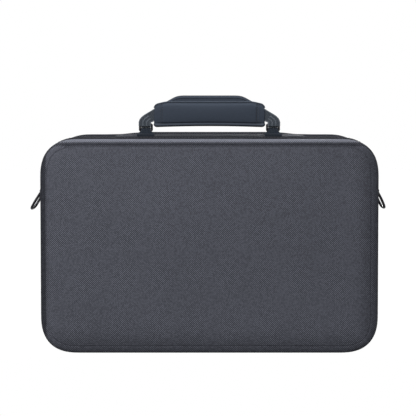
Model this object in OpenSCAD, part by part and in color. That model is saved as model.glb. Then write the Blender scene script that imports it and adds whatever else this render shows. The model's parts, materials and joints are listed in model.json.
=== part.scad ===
// Hard-shell carrying case for a game console, standing on its long side.
// X runs left to right, Y front to back and Z up. The origin is the middle of the underside.
// The shallow front shell is the lid and the deep back shell is the base.

/* [Case] */
// Width of the closed case
case_w = 440; // [380:5:520]
// Height of the closed case as it stands
case_h = 279; // [250:1:320]
// Depth of the front shell, rim to face
lid_d = 40; // [34:1:60]
// Depth of the back shell, rim to face
base_d = 111; // [90:1:150]
// Radius of the four corners, seen from the front
corner_r = 42; // [36:1:56]
// Radius of the rolled edge between a face and its walls
edge_r = 9; // [7.5:0.5:11]
// Thickness of the moulded laminate
shell_t = 4; // [3:0.5:5]
// Distance of the pressed crease from the outline
crease_inset = 12; // [11:0.5:16]
// Depth of the pressed crease
crease_depth = 1; // [0.6:0.1:1.6]

/* [Zipper and hinge] */
// Gap between the two bound rims, which the zipper bridges
seam_gap = 9; // [8.8:0.2:12]
// Thickness of the binding sewn over each rim
binding_t = 1.5; // [1:0.1:2.5]
// Width of one zipper coil
coil_w = 3; // [2.4:0.1:3.2]
// Height of a zipper coil above its tape
coil_t = 2.2; // [1.8:0.1:2.6]
// Thickness of the zipper tape
tape_t = 0.8; // [0.5:0.1:1.2]
// Length of tape glued inside each wall
tape_lap = 10; // [6:1:16]
// Length of a slider
slider_l = 11; // [9:0.5:14]
// Length of a zip pull below its pin
pull_l = 28; // [20:1:34]
// Width of a zip pull
pull_w = 5.5; // [4.8:0.1:6.5]
// Height of the lower slider above the underside
slider_z = 112; // [100:1:120]
// Thickness of the woven hinge strip
hinge_t = 1.2; // [0.8:0.1:1.4]
// Width of the strip sewn to each shell
hinge_lap = 10; // [6:1:16]

/* [Handle] */
// Length of the padded grip
wrap_l = 150; // [120:2:170]
// Height of the grip's front panel
wrap_h = 34; // [31:0.5:40]
// Thickness of the grip, front to back
wrap_t = 17; // [15:0.5:20]
// Height of the closing flap above the front panel
flap_rise = 8; // [5:0.5:10]
// Height of the grip's underside above the case
grip_gap = 14; // [12:0.5:20]
// Distance from the grip's end to a handle ring
ring_gap = 1; // [0.6:0.2:6]
// Outer width of a handle ring
ring_w = 19; // [18:0.5:24]
// Height of the opening in a handle ring
ring_eye_h = 5.5; // [5.3:0.1:8]
// Diameter of the handle ring's wire
ring_wire_d = 3; // [2.6:0.1:3.4]
// Height of the handle webbing, folded lengthwise
strap_h = 14; // [12:0.5:15]
// Thickness of the handle webbing, folded lengthwise
strap_t = 5; // [4:0.2:6]
// Distance of the handle behind the back shell's rim
handle_setback = 11; // [11:0.5:20]
// Length of the stiffening patch under the handle
patch_l = 255; // [230:5:300]
// Width of the stiffening patch
patch_w = 34; // [28:1:50]
// Thickness of the stiffening patch
patch_t = 1.7; // [1:0.1:2.5]

/* [Side rings] */
// Height of a side ring's bar above the underside
dring_z = 207; // [190:1:215]
// Distance of a side ring behind the back shell's rim
dring_setback = 16; // [16:0.5:40]
// Inside width of a side ring
dring_w = 22.4; // [20:0.2:28]
// Diameter of a side ring's wire
dring_wire_d = 3.6; // [3:0.2:4.4]
// Straight length of a side ring's legs
dring_leg = 12; // [8:0.5:16]
// Angle at which a side ring stands off the wall
dring_angle = 30; // [5:1:60]

/* [Inside] */
// Thickness of the foam pad on the back wall
pad_t = 6; // [4:0.5:12]
// Distance of the pad from the inner walls
pad_margin = 20; // [14:1:40]
// Width of a console strap
console_strap_w = 38; // [25:1:50]
// Thickness of a console strap
console_strap_t = 1.6; // [1.2:0.1:2]
// Half the distance between the console straps
console_strap_x = 90; // [60:5:130]
// Length of the overlap where a console strap closes
console_lap = 60; // [40:5:90]
// Width of the net pocket in the lid
pocket_w = 350; // [260:5:360]
// Height of the net pocket
pocket_h = 180; // [120:5:200]
// Depth of the net pocket
pocket_d = 11; // [8:0.5:14]
// Thickness of the net
net_t = 1.2; // [0.8:0.1:1.6]
// Height of the elastic hem
hem_h = 10; // [6:1:14]

/* [Hidden] */
$fn = 96;

// Places along Y
case_d = lid_d + seam_gap + base_d;
front_y = -case_d / 2;
back_y = case_d / 2;
lid_rim_y = front_y + lid_d;
seam_y = lid_rim_y + seam_gap / 2;
base_rim_y = lid_rim_y + seam_gap;
handle_y = base_rim_y + handle_setback;
dring_y = base_rim_y + dring_setback;

// Clearances
cut = 1;                 // overrun of every cutting tool
pin_clear = 0.05;        // radial clearance round a pin or bar
side_clear = 0.25;       // clearance beside a moving piece
soft_clear = 0.3;        // clearance of a soft piece

// Shell details
crease_r = 3;            // radius of the crease's round bottom
hinge_l = case_w - 2 * corner_r - 16 * side_clear;
rebate_d = hinge_t + soft_clear;

// Zipper details
chain_gap = 1.2;         // between the two coils, where a slider's neck runs
stop_l = 4;              // length of an end stop
zip_end_x = hinge_l / 2 + soft_clear;
plate_t = 1.2;           // thickness of a slider's plates
plate_clear = 0.1;       // clearance of a slider round the chain
neck_t = chain_gap - 2 * plate_clear;
slider_w = seam_gap - 2 * soft_clear;
lip_t = slider_w / 2 - chain_gap / 2 - coil_w - plate_clear;
pull_pin_d = 1.6;
pull_t = 1.6;
lug_t = 0.9;
eye_w = 3;               // width of the pull's eye, between the lugs
pull_wide_at = 5;        // distance below the pin where the pull widens
chain_x = case_w / 2 - shell_t;                    // outer face of the tape on the right wall
plate_x = chain_x + coil_t + plate_clear;          // underside of a slider's outer plate
eye_r = pull_pin_d / 2 + plate_t / 2;
pull_pin_x = plate_x + plate_t + eye_r + 2 * pin_clear;
lug_r = pull_pin_d / 2 + 0.6 * plate_t;
slider_pitch = slider_l + pull_l + 2 * side_clear; // the upper pull hangs clear of the lower slider

// Handle details
ring_wire_r = ring_wire_d / 2;
ring_reach = wrap_l / 2 + ring_gap + ring_w / 2;
ring_bend = ring_wire_r + 0.15; // centre-line radius of a handle ring's corners
ring_span_x = ring_w - ring_wire_d;
ring_span_z = ring_eye_h + ring_wire_d;
loop_w = ring_span_x - 2 * ring_bend - 2 * side_clear;
tab_foot_w = 23;
tab_foot_l = 20;
tab_foot_t = 1.8;
tab_foot_r = 4;
tab_neck_t = 4.4;
tab_flare = 3.5;
tab_neck_h = 1.6;        // height of a tab's neck between its foot and its loop
tab_loop_wall = 2.2;
tab_loop_r = ring_wire_r + pin_clear + tab_loop_wall;
patch_top_z = case_h + patch_t;
ring_bar_z = patch_top_z + tab_foot_t + tab_neck_h + tab_loop_r;
ring_top_z = ring_bar_z + ring_span_z;
strap_loop_wall = 2.5;
strap_loop_r = ring_wire_r + pin_clear + strap_loop_wall;
strap_low_z = ring_top_z + ring_wire_r + soft_clear;
strap_spread = 1.5;      // reach of the webbing past its loop, away from the grip
strap_knee = 1.2;        // height of the webbing's outer side, where it meets the slope
strap_bulge = 1.6;       // rise of the curved slope above a straight one
wrap_z0 = case_h + grip_gap;
strap_z = wrap_z0 + wrap_h / 2;
strap_top_z = strap_z + strap_h / 2;
slot_z = strap_z - strap_h / 2; // bottom of the grip's slot for the webbing
wrap_fold_r = 6;         // radius of the grip's folded underside
panel_r = 2;             // rounding of a panel's top edge
panel_t = (wrap_t - strap_t) / 2;
wrap_top_z = wrap_z0 + wrap_h;
flap_top_z = wrap_top_z + flap_rise;
shoulder_z = wrap_top_z - 7;
flap_flat_share = 0.52;  // of the grip's length, at the flap's full height
shoulder_steps = 14;
fastener_z0 = strap_top_z + soft_clear;
fastener_h = wrap_top_z - panel_r - fastener_z0;
fastener_margin = 12;

// Side ring details
dring_wire_r = dring_wire_d / 2;
dring_half = dring_w / 2 + dring_wire_r;  // half the width on the centre line
dring_bend = 3;
side_tab_w = 2 * (dring_half - dring_bend - side_clear);
side_tab_h = 24;
side_tab_t = 1.8;
side_loop_wall = 1.4;
side_loop_r = dring_wire_r + pin_clear + side_loop_wall;
side_web_h = side_loop_r - 0.3;
dring_x = case_w / 2 + side_loop_r + side_tab_t;

// Inside details
inner_back_y = back_y - shell_t;
inner_face_y = front_y + shell_t;
pad_r = corner_r - pad_margin;
strap_turn = 16;         // length of a console strap's end up the wall
hem_t = 2.4;
pocket_r = 18;
pocket_z0 = (case_h - pocket_h - hem_h) / 2;

// A quarter of a disc, in the first quadrant
module quarter_disc(r) {
    intersection() {
        circle(r);
        square(r);
    }
}

// Rectangle with four round corners, centred
module rounded_rect(w, h, r) {
    square([w, h - 2 * r], center = true);
    for (side = [-1, 1]) {
        translate([0, side * (h - r) / 2]) square([w - 2 * r, r], center = true);
        for (end = [0, 1]) mirror([0, 1 - (side + 1) / 2, 0]) mirror([end, 0, 0])
            translate([w / 2 - r, h / 2 - r]) quarter_disc(r);
    }
}

// Half section of a dish: a wall of reach and depth with a rolled edge
module dish_section(reach, d, e) {
    square([reach, d - e]);
    translate([0, d - e]) square([reach - e, e]);
    translate([reach - e, d - e]) quarter_disc(e);
}

// Solid dish with its rim on z = 0 and its face on z = d
module dish(w, h, d, r, e) {
    x = w / 2 - r;
    y = h / 2 - r;
    for (side = [0, 1]) {
        mirror([0, side, 0]) rotate([90, 0, 90])
            translate([0, 0, -x]) linear_extrude(2 * x) dish_section(h / 2, d, e);
        mirror([side, 0, 0]) translate([x, y, 0]) rotate([90, 0, 0])
            linear_extrude(2 * y) dish_section(r, d, e);
        for (end = [0, 1]) mirror([0, side, 0]) mirror([end, 0, 0])
            translate([x, y, 0]) rotate_extrude(angle = 90) dish_section(r, d, e);
    }
}

// Round-bottomed crease pressed into the face at height d
module crease_cutter(w, h, d, r) {
    x = w / 2 - r;
    y = h / 2 - r;
    path_r = r - crease_inset;
    translate([0, 0, d + crease_r - crease_depth]) for (side = [0, 1]) {
        mirror([0, side, 0]) translate([-x, y + path_r, 0]) rotate([0, 90, 0]) cylinder(2 * x, r = crease_r);
        mirror([side, 0, 0]) translate([x + path_r, y, 0]) rotate([90, 0, 0]) cylinder(2 * y, r = crease_r);
        for (end = [0, 1]) mirror([0, side, 0]) mirror([end, 0, 0])
            translate([x, y, 0]) rotate_extrude(angle = 90) translate([path_r, 0]) circle(crease_r);
    }
}

// Moulded shell of wall shell_t, rim on z = 0
module shell(d) {
    difference() {
        dish(case_w, case_h, d, corner_r, edge_r);
        translate([0, 0, -cut]) dish(case_w - 2 * shell_t, case_h - 2 * shell_t, d - shell_t + cut,
            corner_r - shell_t, edge_r - shell_t);
        crease_cutter(case_w, case_h, d, corner_r);
    }
}

// Strip that follows the outline between two depths and two insets
module outline_strip(y0, y1, inset, thick) {
    translate([0, y1, case_h / 2]) rotate([90, 0, 0]) linear_extrude(y1 - y0) difference() {
        rounded_rect(case_w - 2 * inset, case_h - 2 * inset, corner_r - inset);
        rounded_rect(case_w - 2 * (inset + thick), case_h - 2 * (inset + thick), corner_r - inset - thick);
    }
}

// Place of the hinge strip along the underside, widened by extra on its inner side
module hinge_zone(y0, y1, half_l, depth) {
    translate([-half_l, y0, -cut]) cube([2 * half_l, y1 - y0, depth + cut]);
}

// Rebate under both rims that the hinge strip is sewn into
module hinge_rebate() {
    hinge_zone(lid_rim_y - hinge_lap, base_rim_y + hinge_lap, hinge_l / 2, rebate_d);
}

// Zipper strips stop where the hinge begins
module zip_strip(y0, y1, inset, thick, end_x) {
    difference() {
        outline_strip(y0, y1, inset, thick);
        hinge_zone(y0 - cut, y1 + cut, end_x, corner_r / 2);
    }
}

// Straight wire of a length, centred, along X
module wire_x(l, r) {
    rotate([0, 90, 0]) translate([0, 0, -l / 2]) cylinder(l, r = r);
}

// Quarter bend of a wire, from +X to +Y round the origin
module wire_bend(bend, r) {
    rotate_extrude(angle = 90) translate([bend, 0]) circle(r);
}

module base_shell() {
    color([0.16, 0.16, 0.18]) difference() {
        translate([0, base_rim_y + binding_t, case_h / 2]) rotate([-90, 0, 0]) shell(base_d - binding_t);
        hinge_rebate();
    }
}

module lid_shell() {
    color([0.17, 0.17, 0.19]) difference() {
        translate([0, lid_rim_y - binding_t, case_h / 2]) rotate([90, 0, 0]) shell(lid_d - binding_t);
        hinge_rebate();
    }
}

module base_rim_binding() {
    color([0.06, 0.06, 0.07]) difference() {
        outline_strip(base_rim_y, base_rim_y + binding_t, 0, shell_t);
        hinge_rebate();
    }
}

module lid_rim_binding() {
    color([0.06, 0.06, 0.07]) difference() {
        outline_strip(lid_rim_y - binding_t, lid_rim_y, 0, shell_t);
        hinge_rebate();
    }
}

module base_zip_tape() {
    color([0.05, 0.05, 0.06])
        zip_strip(seam_y + chain_gap / 2, base_rim_y + tape_lap, shell_t, tape_t, zip_end_x);
}

module lid_zip_tape() {
    color([0.05, 0.05, 0.06])
        zip_strip(lid_rim_y - tape_lap, seam_y - chain_gap / 2, shell_t, tape_t, zip_end_x);
}

module base_zip_coil() {
    color([0.09, 0.09, 0.1]) zip_strip(seam_y + chain_gap / 2, seam_y + chain_gap / 2 + coil_w,
        shell_t - coil_t, coil_t, zip_end_x + stop_l);
}

module lid_zip_coil() {
    color([0.09, 0.09, 0.1]) zip_strip(seam_y - chain_gap / 2 - coil_w, seam_y - chain_gap / 2,
        shell_t - coil_t, coil_t, zip_end_x + stop_l);
}

// One stop at each end of the base's coil
module zip_end_stops() {
    color([0.1, 0.1, 0.1]) for (side = [-1, 1])
        translate([side * (zip_end_x + stop_l / 2) - stop_l / 2, seam_y + chain_gap / 2, shell_t - coil_t])
            cube([stop_l, coil_w, coil_t]);
}

// Woven strip across the seam along the underside
module hinge_strip() {
    color([0.07, 0.07, 0.08])
        translate([-hinge_l / 2 + soft_clear, lid_rim_y - hinge_lap + soft_clear, soft_clear])
            cube([hinge_l - 2 * soft_clear, seam_gap + 2 * hinge_lap - 2 * soft_clear, hinge_t]);
}

module top_patch() {
    color([0.12, 0.12, 0.13])
        translate([0, base_rim_y + binding_t + patch_w / 2, case_h]) linear_extrude(patch_t)
            rounded_rect(patch_l, patch_w, tab_foot_r * 2);
}

// Webbing tab folded round the lower bar of a handle ring
module handle_tab(side) {
    foot_z = patch_top_z;
    neck_z = foot_z + tab_foot_t;
    color([0.05, 0.05, 0.06]) translate([side * ring_reach, handle_y, 0]) {
        translate([0, 0, foot_z]) linear_extrude(tab_foot_t)
            rounded_rect(tab_foot_w, tab_foot_l, tab_foot_r);
        difference() {
            union() {
                translate([-loop_w / 2, -tab_neck_t / 2, neck_z])
                    cube([loop_w, tab_neck_t, ring_bar_z - neck_z]);
                translate([0, 0, ring_bar_z]) wire_x(loop_w, tab_loop_r);
                translate([0, tab_neck_t / 2, neck_z]) rotate([90, 0, 0])
                    linear_extrude(tab_neck_t) difference() {
                        translate([-loop_w / 2 - tab_flare, 0])
                            square([loop_w + 2 * tab_flare, tab_flare]);
                        for (end = [-1, 1]) translate([end * (loop_w / 2 + tab_flare), tab_flare])
                            circle(tab_flare - 0.2 * tab_foot_t);
                    }
            }
            translate([0, 0, ring_bar_z]) wire_x(loop_w + 2 * tab_flare, ring_wire_r + pin_clear);
        }
    }
}

// Rounded wire frame that joins a tab to the handle
module handle_ring(side) {
    x = ring_span_x / 2;
    z = ring_span_z / 2;
    color([0.12, 0.12, 0.12]) translate([side * ring_reach, handle_y, ring_bar_z + z]) rotate([90, 0, 0]) {
        for (s = [0, 1]) {
            mirror([0, s, 0]) translate([0, z, 0]) wire_x(2 * (x - ring_bend), ring_wire_r);
            mirror([s, 0, 0]) translate([x, 0, 0]) rotate([0, 0, 90]) wire_x(2 * (z - ring_bend), ring_wire_r);
            for (t = [0, 1]) mirror([0, t, 0]) mirror([s, 0, 0])
                translate([x - ring_bend, z - ring_bend, 0]) wire_bend(ring_bend, ring_wire_r);
        }
    }
}

// End of the webbing beside the grip: it slopes from the grip's top down to the ring
module strap_end_outline() {
    half = wrap_l / 2;
    top = [half, strap_top_z];
    knee = [ring_reach + loop_w / 2 + strap_spread, strap_low_z + strap_knee];
    chord = norm(knee - top);
    way = (knee - top) / chord;
    slope_r = chord * chord / (8 * strap_bulge) + strap_bulge / 2;
    difference() {
        intersection() {
            translate((top + knee) / 2 + (slope_r - strap_bulge) * [way[1], -way[0]]) circle(slope_r);
            translate([half - strap_knee, strap_low_z])
                square([knee[0] - half + strap_knee, strap_top_z - strap_low_z]);
        }
        translate([half - 2 * strap_knee, strap_low_z - cut])
            square([2 * strap_knee + soft_clear, slot_z - strap_low_z + cut]);
    }
}

// Folded webbing: straight through the grip, sloping down at both ends and looped round the rings
module handle_strap() {
    color([0.05, 0.05, 0.06]) translate([0, handle_y, 0]) {
        translate([-wrap_l / 2, -strap_t / 2, slot_z]) cube([wrap_l, strap_t, strap_h]);
        for (side = [0, 1]) mirror([side, 0, 0]) {
            translate([0, strap_t / 2, 0]) rotate([90, 0, 0]) linear_extrude(strap_t) strap_end_outline();
            translate([ring_reach, 0, ring_top_z]) difference() {
                union() {
                    wire_x(loop_w, strap_loop_r);
                    translate([-loop_w / 2, -strap_t / 2, 0])
                        cube([loop_w, strap_t, strap_low_z + strap_knee - ring_top_z]);
                }
                wire_x(loop_w + cut, ring_wire_r + pin_clear);
            }
        }
    }
}

// Height of the closing flap's edge at a place along the grip
function flap_edge(x) = let (
        flat = wrap_l * flap_flat_share / 2,
        run = (abs(x) - flat) / (wrap_l / 2 - flat))
    abs(x) <= flat ? flap_top_z : shoulder_z + (flap_top_z - shoulder_z) * (1 + cos(180 * run)) / 2;

// Outline of the grip from the front, lifted along its middle by the flap
module grip_outline() {
    half = wrap_l / 2;
    flat = half * flap_flat_share;
    right = [for (i = [0 : shoulder_steps]) half - (half - flat) * i / shoulder_steps];
    polygon(concat(
        [[-half, wrap_z0], [half, wrap_z0]],
        [for (x = right) [x, flap_edge(x)]],
        [for (i = [shoulder_steps : -1 : 0]) [-right[i], flap_edge(right[i])]]));
}

// Section of the grip: a pad folded under the webbing, open along its top
module grip_section() {
    half = wrap_t / 2;
    slot = strap_t / 2;
    for (side = [0, 1]) mirror([side, 0]) {
        translate([0, wrap_z0]) square([half - wrap_fold_r, wrap_fold_r]);
        translate([half - wrap_fold_r, wrap_z0 + wrap_fold_r]) mirror([0, 1]) quarter_disc(wrap_fold_r);
        translate([0, wrap_z0 + wrap_fold_r]) square([half, slot_z - wrap_z0 - wrap_fold_r]);
    }
    panel_section(-half, slot_z, wrap_top_z);
    panel_section(slot, slot_z, flap_top_z);
}

// One upright panel of the folded pad, with a rounded top edge
module panel_section(y, z0, z1) {
    translate([y, z0]) square([panel_t, z1 - z0 - panel_r]);
    translate([y + panel_r, z1 - panel_r]) square([panel_t - 2 * panel_r, panel_r]);
    for (side = [0, 1]) translate([y + panel_t / 2, z1 - panel_r]) mirror([side, 0])
        translate([panel_t / 2 - panel_r, 0]) quarter_disc(panel_r);
}

module handle_wrap() {
    color([0.1, 0.1, 0.11]) translate([0, handle_y, 0]) intersection() {
        rotate([90, 0, 90]) translate([0, 0, -wrap_l / 2]) linear_extrude(wrap_l) grip_section();
        translate([0, wrap_t, 0]) rotate([90, 0, 0]) linear_extrude(2 * wrap_t) grip_outline();
    }
}

// One half of the fastener between the grip's two panels
module fastener(y) {
    half = wrap_l * flap_flat_share / 2 + fastener_margin;
    translate([-half, y, fastener_z0]) cube([2 * half, strap_t / 2, fastener_h]);
}

module wrap_loop_strip() {
    color([0.04, 0.04, 0.04]) fastener(handle_y - strap_t / 2);
}

module wrap_hook_strip() {
    color([0.06, 0.06, 0.06]) fastener(handle_y);
}

// Webbing tab on a side wall, looped round the side ring's bar
module side_tab(side) {
    mirror([side < 0 ? 1 : 0, 0, 0]) color([0.05, 0.05, 0.06])
        translate([case_w / 2, dring_y + side_tab_w / 2, dring_z]) rotate([90, 0, 0])
            linear_extrude(side_tab_w) difference() {
                union() {
                    square([side_tab_t, side_tab_h]);
                    square([side_loop_r + side_tab_t, side_web_h]);
                    translate([side_loop_r + side_tab_t, 0]) circle(side_loop_r);
                }
                translate([side_loop_r + side_tab_t, 0]) circle(dring_wire_r + pin_clear);
            }
}

// D-shaped wire ring with its straight bar along Y, hanging from its tab
module d_ring(side) {
    mirror([side < 0 ? 1 : 0, 0, 0]) color([0.12, 0.12, 0.12])
        translate([dring_x, dring_y, dring_z]) rotate([0, 90 - dring_angle, 0]) {
            rotate([0, 0, 90]) wire_x(2 * (dring_half - dring_bend), dring_wire_r);
            for (s = [0, 1]) mirror([0, s, 0]) {
                translate([dring_bend, dring_half - dring_bend, 0]) rotate([0, 0, 90])
                    wire_bend(dring_bend, dring_wire_r);
                translate([dring_bend + (dring_leg - dring_bend) / 2, dring_half, 0])
                    wire_x(dring_leg - dring_bend, dring_wire_r);
            }
            translate([dring_leg, 0, 0]) rotate([0, 0, -90]) rotate_extrude(angle = 180)
                translate([dring_half, 0]) circle(dring_wire_r);
        }
}

// Foam pad bonded to the back wall
module back_pad() {
    color([0.1, 0.1, 0.11]) translate([0, inner_back_y, case_h / 2]) rotate([90, 0, 0])
        linear_extrude(pad_t) rounded_rect(case_w - 2 * (shell_t + pad_margin),
            case_h - 2 * (shell_t + pad_margin), pad_r);
}

// Strap that lies on the pad, with both ends turned along the walls and a lap where it closes
module console_strap(side) {
    y1 = inner_back_y - pad_t;
    inner_h = case_h - 2 * shell_t;
    color([0.05, 0.05, 0.06]) translate([side * console_strap_x - console_strap_w / 2, 0, shell_t]) {
        translate([0, y1 - console_strap_t, 0]) cube([console_strap_w, console_strap_t, inner_h]);
        translate([0, y1 - 2 * console_strap_t, (inner_h - console_lap) / 2])
            cube([console_strap_w, console_strap_t, console_lap]);
        for (z = [0, inner_h - console_strap_t]) translate([0, y1 - console_strap_t - strap_turn, z])
            cube([console_strap_w, strap_turn, console_strap_t]);
    }
}

// Outline of the net pocket, open along its top
module pocket_outline(inset) {
    w = pocket_w - 2 * inset;
    r = pocket_r - inset;
    translate([-w / 2, pocket_z0 + pocket_r]) square([w, pocket_h - pocket_r]);
    translate([-w / 2 + r, pocket_z0 + inset]) square([w - 2 * r, r]);
    for (side = [0, 1]) mirror([side, 0]) translate([w / 2 - r, pocket_z0 + pocket_r])
        mirror([0, 1]) quarter_disc(r);
}

// Net panel with a gusset down both sides and along the bottom
module lid_pocket_net() {
    color([0.14, 0.14, 0.15]) translate([0, inner_face_y + pocket_d, 0]) rotate([90, 0, 0]) {
        linear_extrude(net_t) pocket_outline(0);
        linear_extrude(pocket_d) difference() {
            pocket_outline(0);
            pocket_outline(net_t);
            translate([-pocket_w / 2 + net_t, pocket_z0 + pocket_r]) square([pocket_w - 2 * net_t, pocket_h]);
        }
    }
}

// Elastic band gathered along the pocket's mouth
module lid_pocket_hem() {
    color([0.04, 0.04, 0.04])
        translate([-pocket_w / 2, inner_face_y + pocket_d - net_t / 2 - hem_t / 2, pocket_z0 + pocket_h])
            cube([pocket_w, hem_t, hem_h]);
}

// Zip slider round the two coils of the right wall
module slider(z) {
    half = slider_w / 2;
    tape_in = chain_x - tape_t - plate_clear;
    color([0.1, 0.1, 0.11]) translate([0, seam_y, z - slider_l / 2]) {
        translate([plate_x, -half, 0]) cube([plate_t, slider_w, slider_l]);
        translate([tape_in - plate_t, -half, 0]) cube([plate_t, slider_w, slider_l]);
        translate([tape_in, -neck_t / 2, 0]) cube([plate_x - tape_in, neck_t, slider_l / 2]);
        for (side = [0, 1]) mirror([0, side, 0]) {
            translate([chain_x + plate_clear, half - lip_t, 0])
                cube([plate_x - chain_x - plate_clear, lip_t, slider_l]);
            translate([0, eye_w / 2 + side_clear, slider_l / 2]) {
                translate([plate_x + plate_t, 0, -lug_r])
                    cube([pull_pin_x - plate_x - plate_t, lug_t, 2 * lug_r]);
                translate([pull_pin_x, 0, 0]) rotate([-90, 0, 0]) cylinder(lug_t, r = lug_r);
            }
        }
        translate([pull_pin_x, -eye_w / 2 - side_clear, slider_l / 2]) rotate([-90, 0, 0])
            cylinder(eye_w + 2 * side_clear, d = pull_pin_d);
    }
}

// Flat pull that hangs from the slider's pin
module pull(z) {
    color([0.09, 0.09, 0.1]) translate([pull_pin_x, seam_y, z]) rotate([90, 0, 0]) difference() {
        union() {
            translate([0, 0, -eye_w / 2]) cylinder(eye_w, r = eye_r);
            translate([-pull_t / 2, -pull_wide_at, -eye_w / 2]) cube([pull_t, pull_wide_at, eye_w]);
            translate([-pull_t / 2, -pull_l, -pull_w / 2]) cube([pull_t, pull_l - pull_wide_at, pull_w]);
        }
        translate([0, 0, -eye_w]) cylinder(2 * eye_w, r = pull_pin_d / 2 + pin_clear);
    }
}

base_shell();
base_rim_binding();
base_zip_tape();
base_zip_coil();
zip_end_stops();
hinge_strip();
top_patch();
handle_tab(-1);  // left_handle_tab
handle_tab(1);  // right_handle_tab
side_tab(-1);  // left_side_tab
side_tab(1);  // right_side_tab
back_pad();
console_strap(-1);  // left_console_strap
console_strap(1);  // right_console_strap
lid_shell();
lid_rim_binding();
lid_zip_tape();
lid_zip_coil();
lid_pocket_net();
lid_pocket_hem();
handle_ring(-1);  // left_handle_ring
handle_ring(1);  // right_handle_ring
handle_strap();
handle_wrap();
wrap_hook_strip();
wrap_loop_strip();
d_ring(-1);  // left_d_ring
d_ring(1);  // right_d_ring
slider(slider_z + slider_pitch);  // upper_slider
slider(slider_z);  // lower_slider
pull(slider_z + slider_pitch);  // upper_pull
pull(slider_z);  // lower_pull
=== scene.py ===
import json
import math

import bmesh
import bpy
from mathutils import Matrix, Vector


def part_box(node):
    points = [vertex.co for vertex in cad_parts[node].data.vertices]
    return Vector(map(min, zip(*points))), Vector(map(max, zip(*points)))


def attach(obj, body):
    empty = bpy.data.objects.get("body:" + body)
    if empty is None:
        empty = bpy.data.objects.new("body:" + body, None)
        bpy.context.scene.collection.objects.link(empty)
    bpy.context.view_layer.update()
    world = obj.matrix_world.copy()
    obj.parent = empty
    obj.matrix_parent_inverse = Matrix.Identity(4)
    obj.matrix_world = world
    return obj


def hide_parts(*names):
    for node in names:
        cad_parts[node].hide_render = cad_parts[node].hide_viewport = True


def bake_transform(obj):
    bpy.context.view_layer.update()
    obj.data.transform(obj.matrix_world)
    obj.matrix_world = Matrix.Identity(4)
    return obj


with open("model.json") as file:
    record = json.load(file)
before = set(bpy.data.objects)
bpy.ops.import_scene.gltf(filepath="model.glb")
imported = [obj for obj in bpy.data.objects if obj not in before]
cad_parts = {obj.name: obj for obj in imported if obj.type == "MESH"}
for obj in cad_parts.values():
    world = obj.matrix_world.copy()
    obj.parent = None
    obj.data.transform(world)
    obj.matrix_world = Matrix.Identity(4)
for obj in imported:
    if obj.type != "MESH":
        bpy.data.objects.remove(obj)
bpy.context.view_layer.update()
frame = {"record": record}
mm = 0.001

# Places that the rest is built on, read from the frame
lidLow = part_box("lid_shell")[0]
baseLow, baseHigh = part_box("base_shell")
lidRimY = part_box("lid_rim_binding")[1].y
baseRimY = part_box("base_rim_binding")[0].y
seamY = (lidRimY + baseRimY) / 2
caseWidth = baseHigh.x - baseLow.x
caseHeight = baseHigh.z - baseLow.z
middleZ = (baseHigh.z + baseLow.z) / 2
handleY = sum(v.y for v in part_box("handle_strap")) / 2
gripLow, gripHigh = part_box("handle_wrap")
gripHalf = gripHigh.x


# Short forms that the rest is written with

def addNode(tree, kind, **settings):
    made = tree.nodes.new(kind)
    for name, value in settings.items():
        setattr(made, name, value)
    return made


def plug(tree, socket, value):
    if isinstance(value, bpy.types.NodeSocket):
        tree.links.new(value, socket)
    else:
        socket.default_value = value


def sums(tree, operation, first, second=0.0):
    made = addNode(tree, "ShaderNodeMath", operation=operation)
    plug(tree, made.inputs[0], first)
    plug(tree, made.inputs[1], second)
    return made.outputs[0]


def blendOf(tree, factor, low, high):
    made = addNode(tree, "ShaderNodeMix", data_type="FLOAT")
    for socket, value in ((0, factor), (2, low), (3, high)):
        plug(tree, made.inputs[socket], value)
    return made.outputs[0]


def emptyTree(owner):
    owner.use_nodes = True
    owner.node_tree.nodes.clear()
    return owner.node_tree


def linked(name, data):
    made = bpy.data.objects.new(name, data)
    bpy.context.collection.objects.link(made)
    return made


def clamped(value):
    return min(1, max(0, value))


def signed(value, power):
    return math.copysign(abs(value) ** power, value)


# Camera, floor and lamps

studio = {
    "place": (0.0, -1.3785, 0.3422),    # where the photographer stood
    "pitch": 2.0,                       # degrees below the level: the photo's sides hardly converge
    "lens": 87.41,
    "shift": (-0.00345, -0.1983),
    "horizon": 0.07,                    # light of the room at the level of the floor
    "zenith": 0.55,                     # and overhead
    "ground": 0.14,                     # what the bright floor throws back
    "floor": 0.5,
    "clear": 1.055,                     # brings the seen-through floor up to the photo's white
    "clearShare": 0.94,
    "floorReach": 1.2,
    "floorFront": -0.095,               # the opened lid hangs below the floor, in front of this edge
    "floorBack": 3.0,
    "keyPower": 24.0,
    "topPower": 12.0,
    "rearPower": 12.0,
}


def makeCamera():
    data = bpy.data.cameras.new("camera")
    data.lens = studio["lens"]
    data.shift_x, data.shift_y = studio["shift"]
    camera = linked("camera", data)
    camera.location = studio["place"]
    camera.rotation_euler = (math.radians(90 - studio["pitch"]), 0, 0)
    bpy.context.scene.camera = camera


def areaLamp(name, place, aim, size, power):
    data = bpy.data.lights.new(name, "AREA")
    data.shape = "RECTANGLE"
    data.size, data.size_y = size
    data.energy = power
    lamp = linked(name, data)
    lamp.location = place
    lamp.visible_camera = False
    lamp.rotation_euler = (Vector(aim) - Vector(place)).to_track_quat("-Z", "Y").to_euler()


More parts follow.
